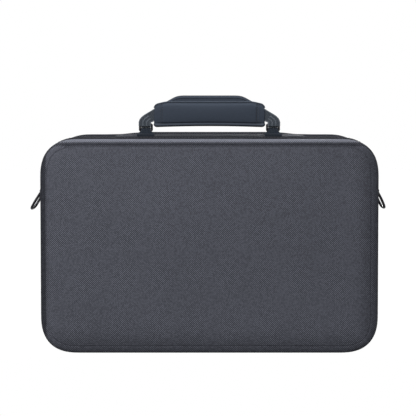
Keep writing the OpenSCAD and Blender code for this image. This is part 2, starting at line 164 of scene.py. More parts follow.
def makeWorld():
    world = bpy.data.worlds.new("softRoom")
    bpy.context.scene.world = world
    tree = emptyTree(world)
    where = addNode(tree, "ShaderNodeTexCoord")
    parts = addNode(tree, "ShaderNodeSeparateXYZ")
    tree.links.new(where.outputs["Generated"], parts.inputs[0])
    levels = []
    for end, low, high in ((0.9, studio["horizon"], studio["zenith"]), (-0.5, 0.0, studio["ground"])):
        level = addNode(tree, "ShaderNodeMapRange", interpolation_type="SMOOTHSTEP")
        for socket, value in (("Value", parts.outputs[2]), ("From Max", end), ("To Min", low),
                              ("To Max", high)):
            plug(tree, level.inputs[socket], value)
        levels.append(level.outputs[0])
    # whatever looks at the room directly or in a reflection sees plain white
    rays = addNode(tree, "ShaderNodeLightPath")
    seen = sums(tree, "MAXIMUM", rays.outputs["Is Camera Ray"], rays.outputs["Is Transmission Ray"])
    seen = sums(tree, "MAXIMUM", seen, rays.outputs["Is Glossy Ray"])
    background = addNode(tree, "ShaderNodeBackground")
    background.inputs["Color"].default_value = (1, 1, 1, 1)
    plug(tree, background.inputs["Strength"], blendOf(tree, seen, sums(tree, "ADD", *levels), 1.0))
    out = addNode(tree, "ShaderNodeOutputWorld")
    tree.links.new(background.outputs[0], out.inputs["Surface"])


def makeFloor():
    mesh = bpy.data.meshes.new("floor")
    reachX, front, back = studio["floorReach"], studio["floorFront"], studio["floorBack"]
    corners = [(-reachX, front), (reachX, front), (reachX, back), (-reachX, back)]
    mesh.from_pydata([(x, y, 0.0) for x, y in corners], [], [(0, 1, 2, 3)])
    floor = linked("floor", mesh)
    material = bpy.data.materials.new("paleFloor")
    tree = emptyTree(material)
    # the camera sees through most of it, so that little but the shadow is left
    rays = addNode(tree, "ShaderNodeLightPath")
    mix = addNode(tree, "ShaderNodeMixShader")
    plug(tree, mix.inputs[0], sums(tree, "MULTIPLY", rays.outputs["Is Camera Ray"], studio["clearShare"]))
    for socket, kind, light in ((1, "ShaderNodeBsdfDiffuse", "floor"),
                                (2, "ShaderNodeBsdfTransparent", "clear")):
        shader = addNode(tree, kind)
        shader.inputs["Color"].default_value = (*[studio[light]] * 3, 1)
        tree.links.new(shader.outputs[0], mix.inputs[socket])
    out = addNode(tree, "ShaderNodeOutputMaterial")
    tree.links.new(mix.outputs[0], out.inputs["Surface"])
    mesh.materials.append(material)


bpy.context.scene.view_settings.view_transform = "Standard"
makeCamera()
makeWorld()
makeFloor()
areaLamp("topBox", (0.0, 0.12, 1.1), (0, 0, 0.2), (1.0, 0.4), studio["topPower"])
areaLamp("keyBox", (-0.4, -1.4, 0.8), (-0.05, 0, 0.16), (0.6, 0.5), studio["keyPower"])
areaLamp("rearBox", (0.3, 1.6, 0.6), (0, 0, 0.16), (0.6, 0.5), studio["rearPower"])
print("stage: camera, floor and lamps")


# Materials


def newSurface(name, colour, rough, specular=0.5, sheen=0.0, metallic=0.0, coat=0.0):
    material = bpy.data.materials.new(name)
    material.use_nodes = True
    shader = material.node_tree.nodes["Principled BSDF"]
    values = {"Base Color": (*colour, 1), "Roughness": rough, "Specular IOR Level": specular,
              "Metallic": metallic,
              "Coat Weight": coat, "Sheen Weight": sheen, "Sheen Roughness": 0.45}
    for socket, value in values.items():
        shader.inputs[socket].default_value = value
    return material, material.node_tree, shader


def shadeBy(tree, shader, colour, factor, low, high):
    # colour times a factor that runs from low to high
    shade = addNode(tree, "ShaderNodeMix", data_type="RGBA")
    tree.links.new(factor, shade.inputs[0])
    shade.inputs[6].default_value = (*[c * low for c in colour], 1)
    shade.inputs[7].default_value = (*[c * high for c in colour], 1)
    tree.links.new(shade.outputs[2], shader.inputs["Base Color"])


def relief(tree, shader, height, depth, strength):
    bump = addNode(tree, "ShaderNodeBump")
    bump.inputs["Distance"].default_value = depth
    bump.inputs["Strength"].default_value = strength
    tree.links.new(height, bump.inputs["Height"])
    tree.links.new(bump.outputs[0], shader.inputs["Normal"])


def noiseOf(tree, scale, detail=3.0, coordinate="Object"):
    where = addNode(tree, "ShaderNodeTexCoord")
    noise = addNode(tree, "ShaderNodeTexNoise")
    noise.inputs["Scale"].default_value = scale
    noise.inputs["Detail"].default_value = detail
    tree.links.new(where.outputs[coordinate], noise.inputs["Vector"])
    return noise.outputs["Fac"]


def weave(tree, yarn, floats):
    # yarns run along U and V; a yarn passes over as many others as floats says, in a stepped line.
    # Gives the height, where the weft lies on top, and a random tone for each crossing
    where = addNode(tree, "ShaderNodeUVMap", uv_map="cloth")
    parts = addNode(tree, "ShaderNodeSeparateXYZ")
    tree.links.new(where.outputs[0], parts.inputs[0])
    u = sums(tree, "DIVIDE", parts.outputs[0], yarn)
    v = sums(tree, "DIVIDE", parts.outputs[1], yarn)
    warp = sums(tree, "ABSOLUTE", sums(tree, "SINE", sums(tree, "MULTIPLY", u, math.pi)))
    weft = sums(tree, "ABSOLUTE", sums(tree, "SINE", sums(tree, "MULTIPLY", v, math.pi)))
    column, row = sums(tree, "FLOOR", u), sums(tree, "FLOOR", v)
    step = sums(tree, "FLOORED_MODULO", sums(tree, "ADD", column, row), 2.0 * floats)
    over = sums(tree, "LESS_THAN", step, floats)
    cell = addNode(tree, "ShaderNodeCombineXYZ")
    tree.links.new(column, cell.inputs[0])
    tree.links.new(row, cell.inputs[1])
    tone = addNode(tree, "ShaderNodeTexWhiteNoise", noise_dimensions="2D")
    tree.links.new(cell.outputs[0], tone.inputs["Vector"])
    return blendOf(tree, over, sums(tree, "MULTIPLY", warp, 0.8), weft), over, tone.outputs["Value"]


def clothSurface(name, colour, cloth):
    material, tree, shader = newSurface(name, colour, cloth["rough"], cloth["specular"])
    height, over, tone = weave(tree, cloth["yarn"], cloth["floats"])
    spread, speckle = cloth["tones"], cloth["speckle"]
    light = 0.5
    # the yarn's height makes the colour darker where it dips between crossings, a painted shade
    for factor, low, high in ((over, 1 - spread, 1 + spread), (height, 0.7, 1.2),
                              (tone, 1 - speckle, 1 + speckle),
                              (noiseOf(tree, 9.0, 2.0), 0.86, 1.14)):
        light = sums(tree, "MULTIPLY", light, blendOf(tree, factor, low, high))
    # painted light and shade from the shell's map: it makes the colour lighter or darker, and the reflection
    # weaker where the shade is darker
    if "pressed" in cloth:
        edge = addNode(tree, "ShaderNodeAttribute", attribute_name="pressed").outputs["Fac"]
        light = sums(tree, "MULTIPLY", light, blendOf(tree, edge, *cloth["pressed"]))
        plug(tree, shader.inputs["Specular IOR Level"], blendOf(tree, edge, cloth["specular"] * 1.5, 0.0))
    shadeBy(tree, shader, colour, light, 0.0, 2.0)
    relief(tree, shader, height, cloth["yarn"] * 0.3, cloth["relief"])
    return material


def knitSurface(name, colour, knit):
    material, tree, shader = newSurface(name, colour, knit["rough"], 0.08, knit["sheen"])
    fine = noiseOf(tree, knit["scale"], 4.0)
    # a random tone that is also the relief, so the colour is darker where the knit dips: partly the yarn's
    # own tone, partly painted shade
    shadeBy(tree, shader, colour, fine, 0.7, 1.3)
    relief(tree, shader, fine, knit["depth"], knit["relief"])
    return material


def metalSurface(name, colour, rough, coat=0.0):
    material, tree, shader = newSurface(name, colour, rough, 0.5, 0.0, 1.0, coat)
    wear = noiseOf(tree, 160.0, 4.0)
    plug(tree, shader.inputs["Roughness"], blendOf(tree, wear, rough * 0.7, rough * 1.4))
    relief(tree, shader, wear, 0.05 * mm, 0.15)
    return material


cloths = {
    "twill": {"yarn": 1.33 * mm, "floats": 1, "tones": 0.5, "speckle": 0.22, "relief": 0.5, "rough": 0.6,
              # the last pair: how much lighter and darker the painted light and shade make the twill
              "specular": 0.06, "pressed": (1.7, 0.3)},
    "patch": {"yarn": 1.1 * mm, "floats": 1, "tones": 0.2, "speckle": 0.15, "relief": 0.5, "rough": 0.8,
              "specular": 0.04},
    "webbing": {"yarn": 0.9 * mm, "floats": 2, "tones": 0.2, "speckle": 0.12, "relief": 0.7, "rough": 0.7,
                "specular": 0.12},
    "tape": {"yarn": 0.6 * mm, "floats": 2, "tones": 0.2, "speckle": 0.1, "relief": 0.5, "rough": 0.8,
             "specular": 0.05},
    "binding": {"yarn": 0.8 * mm, "floats": 1, "tones": 0.2, "speckle": 0.1, "relief": 0.6, "rough": 0.8,
                "specular": 0.04},
    "knit": {"scale": 900.0, "depth": 0.15 * mm, "relief": 0.5, "rough": 0.75, "sheen": 0.05},
    "lining": {"scale": 700.0, "depth": 0.12 * mm, "relief": 0.4, "rough": 0.9, "sheen": 0.2},
    "loops": {"scale": 1200.0, "depth": 0.4 * mm, "relief": 0.9, "rough": 0.9, "sheen": 0.1},
}
twill = clothSurface("shellTwill", (0.064, 0.067, 0.082), cloths["twill"])
patchCloth = clothSurface("patchCloth", (0.024, 0.026, 0.032), cloths["patch"])
webbing = clothSurface("strapWebbing", (0.042, 0.050, 0.061), cloths["webbing"])
# a lighter cloth on the strap's edges and ribs: painted highlight
webbingEdgeHighlight = clothSurface("webbingEdgeHighlight", (0.092, 0.104, 0.122), cloths["binding"])
tabCloth = clothSurface("tabWebbing", (0.016, 0.021, 0.030), cloths["webbing"])
zipTape = clothSurface("zipTape", (0.010, 0.010, 0.012), cloths["tape"])
bindingCloth = clothSurface("rimBinding", (0.012, 0.012, 0.015), cloths["binding"])
gripCloth = knitSurface("gripCloth", (0.031, 0.039, 0.054), cloths["knit"])
# a lighter copy of the grip cloth, for the hem band and as a painted highlight on the panel's top piping
gripHemAndHighlightCloth = knitSurface("gripHemAndHighlightCloth", (0.048, 0.058, 0.076), cloths["knit"])
edgeCloth = clothSurface("edgeBinding", (0.022, 0.026, 0.034), cloths["binding"])
liningCloth = knitSurface("brushedLining", (0.030, 0.031, 0.036), cloths["lining"])
fastenerCloth = knitSurface("hookAndLoop", (0.012, 0.012, 0.014), cloths["loops"])
elasticCloth = clothSurface("elasticBand", (0.018, 0.018, 0.021), cloths["binding"])
netYarn = knitSurface("netYarn", (0.028, 0.028, 0.032), cloths["lining"])
threadYarn = knitSurface("sewingThread", (0.050, 0.052, 0.060), cloths["lining"])
coilPlastic = newSurface("coilPlastic", (0.02, 0.02, 0.023), 0.38)[0]
blackNickel = metalSurface("blackNickel", (0.03, 0.03, 0.034), 0.2)
paintedZinc = metalSurface("blackZinc", (0.05, 0.05, 0.055), 0.32, 0.2)
print("stage: materials")


# Making meshes

def keep(made):
    # the mesh of a finished bmesh
    mesh = bpy.data.meshes.new("made")
    made.to_mesh(mesh)
    made.free()
    return mesh


def fillHoles(made):
    bmesh.ops.holes_fill(made, edges=[e for e in made.edges if e.is_boundary])
    bmesh.ops.recalc_face_normals(made, faces=made.faces)


def filled(mesh):
    made = bmesh.new()
    made.from_mesh(mesh)
    fillHoles(made)
    return keep(made)


def plainMesh(carrier):
    graph = bpy.context.evaluated_depsgraph_get()
    return bpy.data.meshes.new_from_object(carrier.evaluated_get(graph))


def modified(mesh, kind, **settings):
    # the mesh that one modifier makes of another
    carrier = linked("carrier", mesh)
    modifier = carrier.modifiers.new("change", kind)
    for name, value in settings.items():
        setattr(modifier, name, value)
    result = plainMesh(carrier)
    bpy.data.objects.remove(carrier)
    return result


def boxUv(mesh):
    # the cloth runs flat over each face, along the two axes that the face looks least along
    if mesh.uv_layers.get("cloth"):
        return
    layer = mesh.uv_layers.new(name="cloth")
    for face in mesh.polygons:
        n = [abs(c) for c in face.normal]
        axes = (1, 2) if n[0] > max(n[1], n[2]) else (0, 2) if n[1] >= n[2] else (0, 1)
        for loop in face.loop_indices:
            place = mesh.vertices[mesh.loops[loop].vertex_index].co
            layer.data[loop].uv = (place[axes[0]], place[axes[1]])


def finishPiece(name, mesh, materials, body, stands=()):
    mesh.name = name
    piece = linked(name, mesh)
    for material in materials:
        if material.name not in [m.name for m in mesh.materials if m]:
            mesh.materials.append(material)
    boxUv(mesh)
    if body:
        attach(piece, body)
    if stands:
        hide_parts(*stands)
    return piece


def smoothMesh(mesh, angle=35.0):
    # smooth shading with true edges left sharp
    made = bmesh.new()
    made.from_mesh(mesh)
    for face in made.faces:
        face.smooth = True
    for edge in made.edges:
        edge.smooth = len(edge.link_faces) != 2 or edge.calc_face_angle(0) < math.radians(angle)
    made.to_mesh(mesh)
    made.free()
    return mesh


def meshFromLoops(loops, closed=True, caps=False, joinAt=0.02 * mm, materialOf=None):
    made = bmesh.new()
    rows = [[made.verts.new(p) for p in loop] for loop in loops]
    count = len(rows[0])
    for i in range(len(rows) - 1):
        for j in range(count if closed else count - 1):
            k = (j + 1) % count
            face = made.faces.new((rows[i][j], rows[i][k], rows[i + 1][k], rows[i + 1][j]))
            face.material_index = materialOf(i) if materialOf else 0
    if caps:
        made.faces.new(rows[0][::-1])
        made.faces.new(rows[-1])
    bmesh.ops.remove_doubles(made, verts=made.verts, dist=joinAt)
    bmesh.ops.recalc_face_normals(made, faces=made.faces)
    return keep(made)


def tubeMesh(points, radius, sides=12, closed=False):
    # a round tube along a line of points, with the section carried along without twist
    points = [Vector(p) for p in points]
    count = len(points)
    loops = []
    normal = None
    for i, place in enumerate(points):
        before = points[i - 1] if i or closed else place
        after = points[(i + 1) % count] if i < count - 1 or closed else place
        along = (after - before).normalized()
        if normal is None:
            normal = along.orthogonal().normalized()
        normal = (normal - along * normal.dot(along)).normalized()
        side = along.cross(normal)
        loops.append([place + radius * (math.cos(a) * normal + math.sin(a) * side)
                      for a in (2 * math.pi * k / sides for k in range(sides))])
    if not closed:
        return smoothMesh(meshFromLoops(loops, caps=True))
    # the last ring meets the first at the corner that lies nearest
    first = loops[0]
    turn = min(range(sides), key=lambda k: (loops[-1][k] - first[0]).length)
    loops.append([first[(k - turn) % sides] for k in range(sides)])
    return smoothMesh(meshFromLoops(loops))


def softenedCopy(node, rounding, segments=2):
    # a copy of a CAD solid with its edges rounded, as folded or cast material has them
    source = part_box(node) and bpy.data.objects[node]
    made = bmesh.new()
    made.from_mesh(source.data)
    bmesh.ops.remove_doubles(made, verts=made.verts, dist=0.005 * mm)
    bmesh.ops.dissolve_limit(made, angle_limit=math.radians(1.0), verts=made.verts, edges=made.edges)
    rounded = modified(keep(made), "BEVEL", width=rounding, segments=segments, limit_method="ANGLE",
                       angle_limit=math.radians(30.0), use_clamp_overlap=True)
    return smoothMesh(rounded, 40.0)


def copyPiece(name, node, rounding, material, body, segments=2):
    # a piece that is its CAD solid with softer edges
    finishPiece(name, softenedCopy(node, rounding, segments), [material], body, [node])


def ribbonMesh(rows, thickness):
    # a band of even thickness; rows run across it, with UVs in metres along and across
    count, wide = len(rows), len(rows[0])
    offsets = []
    for i in range(count):
        line = []
        for j in range(wide):
            along = rows[min(i + 1, count - 1)][j] - rows[max(i - 1, 0)][j]
            across = rows[i][min(j + 1, wide - 1)] - rows[i][max(j - 1, 0)]
            line.append(along.cross(across).normalized() * thickness / 2)
        offsets.append(line)
    made = bmesh.new()
    layer = made.loops.layers.uv.new("cloth")
    mark = {}

    def place(i, j, side):
        vertex = made.verts.new(rows[i][j] + side * offsets[i][j])
        middle = rows[i][wide // 2]
        mark[vertex] = (math.copysign((rows[i][j] - middle).length, j - wide // 2), runs[i])
        return vertex

    runs = [0.0]
    for i in range(1, count):
        runs.append(runs[-1] + (rows[i][wide // 2] - rows[i - 1][wide // 2]).length)
    front = [[place(i, j, 1) for j in range(wide)] for i in range(count)]
    back = [[place(i, j, -1) for j in range(wide)] for i in range(count)]
    for i in range(count - 1):
        for j in range(wide - 1):
            made.faces.new((front[i][j], front[i][j + 1], front[i + 1][j + 1], front[i + 1][j]))
            made.faces.new((back[i][j], back[i + 1][j], back[i + 1][j + 1], back[i][j + 1]))
        for j in (0, wide - 1):
            made.faces.new((front[i][j], front[i + 1][j], back[i + 1][j], back[i][j]))
    for i in (0, count - 1):
        for j in range(wide - 1):
            made.faces.new((front[i][j], back[i][j], back[i][j + 1], front[i][j + 1]))
    bmesh.ops.recalc_face_normals(made, faces=made.faces)
    for face in made.faces:
        for loop in face.loops:
            loop[layer].uv = mark[loop.vert]
    return smoothMesh(keep(made), 50.0)


# Geometry Nodes: beads along lines, for stitches and for the zipper's coils

def beadTree():
    tree = bpy.data.node_groups.new("beadsAlong", "GeometryNodeTree")
    for name, kind in (("Lines", "Geometry"), ("Spacing", "Float"), ("Size", "Vector"), ("Across", "Vector"),
                       ("Finish", "Material")):
        tree.interface.new_socket(name, in_out="INPUT", socket_type="NodeSocket" + kind)
    tree.interface.new_socket("Beads", in_out="OUTPUT", socket_type="NodeSocketGeometry")
    given, result = addNode(tree, "NodeGroupInput"), addNode(tree, "NodeGroupOutput")
    lines = addNode(tree, "GeometryNodeMeshToCurve")
    spaced = addNode(tree, "GeometryNodeResampleCurve", mode="LENGTH")
    along = addNode(tree, "GeometryNodeInputTangent")
    turn = addNode(tree, "FunctionNodeAlignRotationToVector", axis="X")
    roll = addNode(tree, "FunctionNodeAlignRotationToVector", axis="Y", pivot_axis="X")
    ball = addNode(tree, "GeometryNodeMeshUVSphere")
    for name, value in (("Segments", 8), ("Rings", 5), ("Radius", 0.5)):
        ball.inputs[name].default_value = value
    shaped = addNode(tree, "GeometryNodeTransform")
    smooth = addNode(tree, "GeometryNodeSetShadeSmooth")
    placed = addNode(tree, "GeometryNodeInstanceOnPoints")
    real = addNode(tree, "GeometryNodeRealizeInstances")
    finish = addNode(tree, "GeometryNodeSetMaterial")
    wires = [
        (given.outputs["Lines"], lines.inputs["Mesh"]), (lines.outputs["Curve"], spaced.inputs["Curve"]),
        (given.outputs["Spacing"], spaced.inputs["Length"]), (spaced.outputs["Curve"],
                                                              placed.inputs["Points"]),
        (along.outputs[0], turn.inputs["Vector"]), (turn.outputs[0], roll.inputs["Rotation"]),
        (given.outputs["Across"], roll.inputs["Vector"]), (roll.outputs[0], placed.inputs["Rotation"]),
        (ball.outputs["Mesh"], shaped.inputs["Geometry"]), (given.outputs["Size"], shaped.inputs["Scale"]),
        (shaped.outputs[0], smooth.inputs["Geometry"]), (smooth.outputs[0], placed.inputs["Instance"]),
        (placed.outputs[0], real.inputs[0]), (real.outputs[0], finish.inputs["Geometry"]),
        (given.outputs["Finish"], finish.inputs["Material"]), (finish.outputs[0], result.inputs[0]),
    ]
    for start, end in wires:
        tree.links.new(start, end)
    return tree


beads = beadTree()


def lineMesh(lines):
    mesh = bpy.data.meshes.new("lines")
    places, edges = [], []
    for line in lines:
        start = len(places)
        places += [tuple(p) for p in line]
        edges += [(start + i, start + i + 1) for i in range(len(line) - 1)]
    mesh.from_pydata(places, edges, [])
    return mesh


def beadsOn(name, lines, row, finish, body, across=(0, 1, 0)):
    carrier = linked(name + "Lines", lineMesh(lines))
    modifier = carrier.modifiers.new("beads", "NODES")
    modifier.node_group = beads
    values = {"Spacing": row["spacing"], "Size": row["size"], "Across": across, "Finish": finish}
    for item in beads.interface.items_tree:
        if item.in_out == "INPUT" and item.name in values:
            modifier[item.identifier] = values[item.name]
    mesh = plainMesh(carrier)
    bpy.data.objects.remove(carrier)
    return finishPiece(name, mesh, [finish], body)


# Outline of the case, seen from the front

outline = {
    "sideTrim": 0.5 * mm,
    "cornerReach": 51 * mm,     # where a corner starts, from the case's true corner
    "cornerPower": 2.57,        # 2 is a circle, more is squarer with softer ends
    "cornerSteps": 18,
    "longSteps": 16,
    "shortSteps": 10,
}


def casePath():
    # points and outward normals, from the middle of the underside to the right and all the way round
    reach, power = outline["cornerReach"], outline["cornerPower"]
    halfW, halfH = caseWidth / 2 - outline["sideTrim"], caseHeight / 2
    straightW, straightH = halfW - reach, halfH - reach
    path = []

    def side(start, end, normal, steps, skipFirst):
        for i in range(1 if skipFirst else 0, steps):
            path.append((start.lerp(end, i / steps), normal))

    def corner(centre, ways):
        # ways are the directions that the corner starts and ends in
        for i in range(outline["cornerSteps"] + 1):
            t = math.pi / 2 * i / outline["cornerSteps"]
            a, b = math.cos(t) ** (2 / power), math.sin(t) ** (2 / power)
            normal = ways[0] * a ** (power - 1) + ways[1] * b ** (power - 1)
            path.append((centre + reach * (ways[0] * a + ways[1] * b), normal.normalized()))

    down, right, up, left = Vector((0, -1)), Vector((1, 0)), Vector((0, 1)), Vector((-1, 0))
    half = outline["longSteps"] // 2
    side(Vector((0, -halfH)), Vector((straightW, -halfH)), down, half, False)
    corner(Vector((straightW, -straightH)), (down, right))
    side(Vector((halfW, -straightH)), Vector((halfW, straightH)), right, outline["shortSteps"], True)
    corner(Vector((straightW, straightH)), (right, up))
    side(Vector((straightW, halfH)), Vector((-straightW, halfH)), up, outline["longSteps"], True)
    corner(Vector((-straightW, straightH)), (up, left))
    side(Vector((-halfW, straightH)), Vector((-halfW, -straightH)), left, outline["shortSteps"], True)
    corner(Vector((-straightW, -straightH)), (left, down))
    side(Vector((-straightW, -halfH)), Vector((0, -halfH)), down, half, True)
    return path


outlinePath = casePath()


def onOutline(inset, y, path=None):
    return [Vector(((p - n * inset).x, y, middleZ + (p - n * inset).y)) for p, n in (path or outlinePath)]


def zipPath(endX):
    # the outline without its middle stretch along the underside
    start = next(i for i, (p, n) in enumerate(outlinePath) if p.x >= endX)
    low = -caseHeight / 2
    ends = [(Vector((s * endX, low)), Vector((0, -1))) for s in (1, -1)]
    return [ends[0]] + outlinePath[start:len(outlinePath) - start + 1] + [ends[1]]


# The two moulded shells

shell = {
    "thickness": 4 * mm,
    "edge": 9 * mm,             # radius of the rolled edge
    "creaseFrom": 8.2 * mm,
    "creaseTo": 12.2 * mm,
    "creaseDepth": 0.8 * mm,
    "crown": 2.2 * mm,          # rise of the face in its middle
    "wallBulge": 0.15 * mm,
    "swell": 4.6 * mm,          # rise of the top wall under the handle
    "swellFlat": 88 * mm,
    "swellEnd": 140 * mm,
    "faceLoops": 14,
}
# Painted light and shade on the shell's cloth, from 0 (lighter) to 1 (darker)
pressed = {
    "face": 0.47,
    "paintedShadeLowRight": 0.24,              # painted shade, added towards the face's lower and right edge
    "paintedShadeLowRightFrom": 34 * mm,
    "paintedShadeLowRightRun": 24 * mm,
    # painted shade on the rolled edge and the walls
    "wall": 0.9,
    "lowWall": 0.72,            # painted shade, lighter on the underside and the right wall
    "crest": 0.08,              # painted highlight along the top roll
    "crestDrop": 4.8 * mm,
    "crestRun": 2.4 * mm,
}


def topRise(x, y):
    # the base's top wall swells under the handle
    t = clamped((shell["swellEnd"] - abs(x)) / (shell["swellEnd"] - shell["swellFlat"]))
    run = (y - baseRimY) / (baseHigh.y - shell["edge"] - baseRimY)
    if not 0 < run < 1.12:
        return 0.0
    return shell["swell"] * t * t * (3 - 2 * t) * math.sin(math.pi * min(1, run / 1.12) ** 1.25) ** 0.9


def makeShell(name, node, body, rimY, faceY):
    way = 1 if faceY > rimY else -1
    depth = abs(faceY - rimY)
    wall, edge = shell["thickness"], shell["edge"]
    halfW, halfH = caseWidth / 2 - shell["creaseTo"], caseHeight / 2 - shell["creaseTo"]

    def crown(place):
        x, z = place.x / halfW, (place.z - middleZ) / halfH
        return shell["crown"] * max(0, 1 - x * x) * max(0, 1 - z * z)

    def face(inset, y, rise, count):
        # the loop at inset shrinks on to the line between the two ends of the face
        start = onOutline(inset, y)
        ridge = halfW - halfH
        loops = []
        for i in range(count + 1):
            loop = []
            for place in start:
                end = Vector((max(-ridge, min(ridge, place.x)), y, middleZ))
                spot = place.lerp(end, i / count)
                loop.append(Vector((spot.x, y + way * rise * crown(spot), spot.z)))
            loops.append(loop)
        return loops

    inner, outer = [], []
    for share in (0.0, 0.25, 0.5, 0.75, 1.0):
        straight = depth - edge
        bulge = shell["wallBulge"] * math.sin(math.pi * share)
        outer.append(onOutline(-bulge, rimY + way * straight * share))
        inner.append(onOutline(wall, rimY + way * straight * share))
    for i in range(1, 10):
        turn = math.pi / 2 * i / 9
        for loops, inset, radius in ((outer, 0, edge), (inner, wall, edge - wall)):
            loops.append(onOutline(inset + radius * (1 - math.cos(turn)),
                                   faceY - way * (inset + radius * (1 - math.sin(turn)))))
    for i in range(1, 11):
        inset = shell["creaseFrom"] + (shell["creaseTo"] - shell["creaseFrom"]) * i / 10
        dip = shell["creaseDepth"] * math.sin(math.pi * i / 10) ** 2
        outer.append(onOutline(inset, faceY - way * dip))
    outer += face(shell["creaseTo"], faceY, 1.0, shell["faceLoops"])[1:]
    inner += face(edge, faceY - way * wall, 0.5, shell["faceLoops"])[1:]
    loops = inner[::-1] + outer
    if body == "base":
        for loop in loops:
            for place in loop:
                if place.z > baseHigh.z - 2 * shell["thickness"]:
                    place.z += topRise(place.x, place.y)
    mesh = smoothMesh(meshFromLoops(loops, materialOf=lambda i: 1 if i < len(inner) - 1 else 0), 50.0)
    # painted light and shade: the cloth is made darker round the rolled edge and on the top wall, darker
    # still towards the face's lower and right edge, and lighter along the top roll
    tone = mesh.attributes.new("pressed", "FLOAT", "POINT")
    for vertex in mesh.vertices:
        depth = way * (vertex.co.y - faceY)
        inFace = abs(vertex.co.x) < halfW + 3.4 * mm and abs(vertex.co.z - middleZ) < halfH + 3.4 * mm
        # painted shade: the top wall behind the rolled edge is made darkest
        roof = vertex.co.z > baseHigh.z - 6 * mm and depth < -shell["edge"] * 0.9
        # painted highlight along the top roll
        crest = clamped((vertex.co.z - baseHigh.z + pressed["crestDrop"]) / pressed["crestRun"])
        # painted shade on the rolled edge and walls, lighter on the underside and the right wall
        wall = pressed["lowWall" if vertex.co.z < edge or vertex.co.x > caseWidth / 2 - edge else "wall"]
        near = min(vertex.co.z, caseWidth / 2 - vertex.co.x)
        # painted shade towards the face's lower and right edge
        paintedShadeLowRight = clamped((pressed["paintedShadeLowRightFrom"] - near) / pressed["paintedShadeLowRightRun"])
        face = pressed["face"] + pressed["paintedShadeLowRight"] * paintedShadeLowRight
        wall += (pressed["crest"] - wall) * crest
        tone.data[vertex.index].value = face if inFace and depth > -2.5 * mm else 1.0 if roof else wall
    finishPiece(name, mesh, [twill, liningCloth], body, [node])


makeShell("lidShell", "lid_shell", "lid", lidRimY - 1.5 * mm, lidLow.y)
makeShell("baseShell", "base_shell", "base", baseRimY + 1.5 * mm, baseHigh.y)
print("stage: shells")


# Rim bindings, zipper and hinge

rim = {
    "bindingDepth": 4.5 * mm,       # how far the binding reaches over the wall
    "bindingSwell": 0.5 * mm,
    "tapeInset": 4.1 * mm,
    "tapeThick": 0.8 * mm,
    "tapeLap": 10 * mm,
    "hingeEnd": 176.3 * mm,
    "foldSlope": 0.04,                  # just inside half of the 5 degrees that the lid stops short of
    "coilGap": 0.4 * mm,
    "seamStitch": {"spacing": 4.2 * mm, "size": (3.0 * mm, 0.55 * mm, 0.5 * mm)},
    "coilTurn": {"spacing": 1.5 * mm, "size": (0.85 * mm, 3.3 * mm, 1.7 * mm)},
}


def sweptBand(path, section, closed):
    loops = [onOutline(inset, y, path) for inset, y in section + section[:1]]
    mesh = meshFromLoops(loops, closed=closed)
    return smoothMesh(mesh if closed else filled(mesh), 50.0)


def foldRoom(place, above=0.0):
    # under the case the rim is pressed flat, so that the lid can fold right back about the seam
    place.z = max(place.z, above - rim["foldSlope"] * abs(place.y - seamY))


def makeRim(part, way, rimY):
    # way points from the seam into the shell
    body = part
    wall, reach, swell = shell["thickness"], rim["bindingDepth"], rim["bindingSwell"]
    fold = [(-swell, reach), (-swell * 1.6, reach / 2), (-swell, 0.7 * mm), (0.5 * mm, 0),
            (wall - 0.5 * mm, 0),
            (wall + swell, 0.7 * mm), (wall + swell, reach), (wall - 0.2 * mm, reach), (wall - 0.2 * mm,
                                                                                        1.5 * mm),
            (0.2 * mm, 1.5 * mm), (0.2 * mm, reach)]
    fold = [(inset, rimY + way * run) for inset, run in fold]
    binding = sweptBand(outlinePath, fold, True)
    for vertex in binding.vertices:
        foldRoom(vertex.co)
    finishPiece(part + "Binding", binding, [bindingCloth], body, [part + "_rim_binding"])
    path = zipPath(rim["hingeEnd"])
    top, low = rim["tapeInset"], rim["tapeInset"] + rim["tapeThick"]
    near, far = seamY + way * rim["coilGap"], rimY + way * rim["tapeLap"]
    tape = [(top, near), (top, far), (low, far), (low, near)]
    finishPiece(part + "ZipTape", sweptBand(path, tape, False), [zipTape], body,
                [part + "_zip_tape"])
    coilY = seamY + way * (rim["coilGap"] + 1.35 * mm)
    line = onOutline(rim["tapeInset"] - 0.7 * mm, coilY, zipPath(rim["hingeEnd"] + 4 * mm))
    coil = beadsOn(part + "ZipCoil", [line], rim["coilTurn"], coilPlastic, body)
    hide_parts(part + "_zip_coil")
    # a row of stitches holds the tape, on the outside of the wall
    rowY = rimY + way * (reach - 1.2 * mm)
    row = onOutline(-swell * 1.7, rowY)
    for place in row:
        foldRoom(place, 0.3 * mm)
    beadsOn(part + "RimStitches", [row + row[:1]], rim["seamStitch"], threadYarn, body)


makeRim("lid", -1, lidRimY)
makeRim("base", 1, baseRimY)


def makeHinge():
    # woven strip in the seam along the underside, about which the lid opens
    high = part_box("hinge_strip")[1]
    y0, y1 = lidRimY - 1.2 * mm, baseRimY + 1.2 * mm
    steps = 14
    loops = []
    for z in (0.35 * mm, 1.1 * mm):
        for side in (-1, 1) if z < 0.5 * mm else (1, -1):
            loops.append([Vector((side * high.x, y0 + (y1 - y0) * i / steps, z)) for i in range(steps + 1)])
    mesh = filled(meshFromLoops(loops + loops[:1], closed=False))
    strip = finishPiece("hingeStrip", smoothMesh(mesh), [webbing], None, ["hinge_strip"])
    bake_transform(strip)


makeHinge()
copyPiece("zipStops", "zip_end_stops", 0.3 * mm, paintedZinc, "base")
for place in ("upper", "lower"):
    copyPiece(place + "Slider", place + "_slider", 0.22 * mm, paintedZinc, place + "_zip")
    copyPiece(place + "Pull", place + "_pull", 0.35 * mm, paintedZinc, place + "_zip_pull")
print("stage: rims, zipper and hinge")


# Patch, tabs, rings and handle webbing

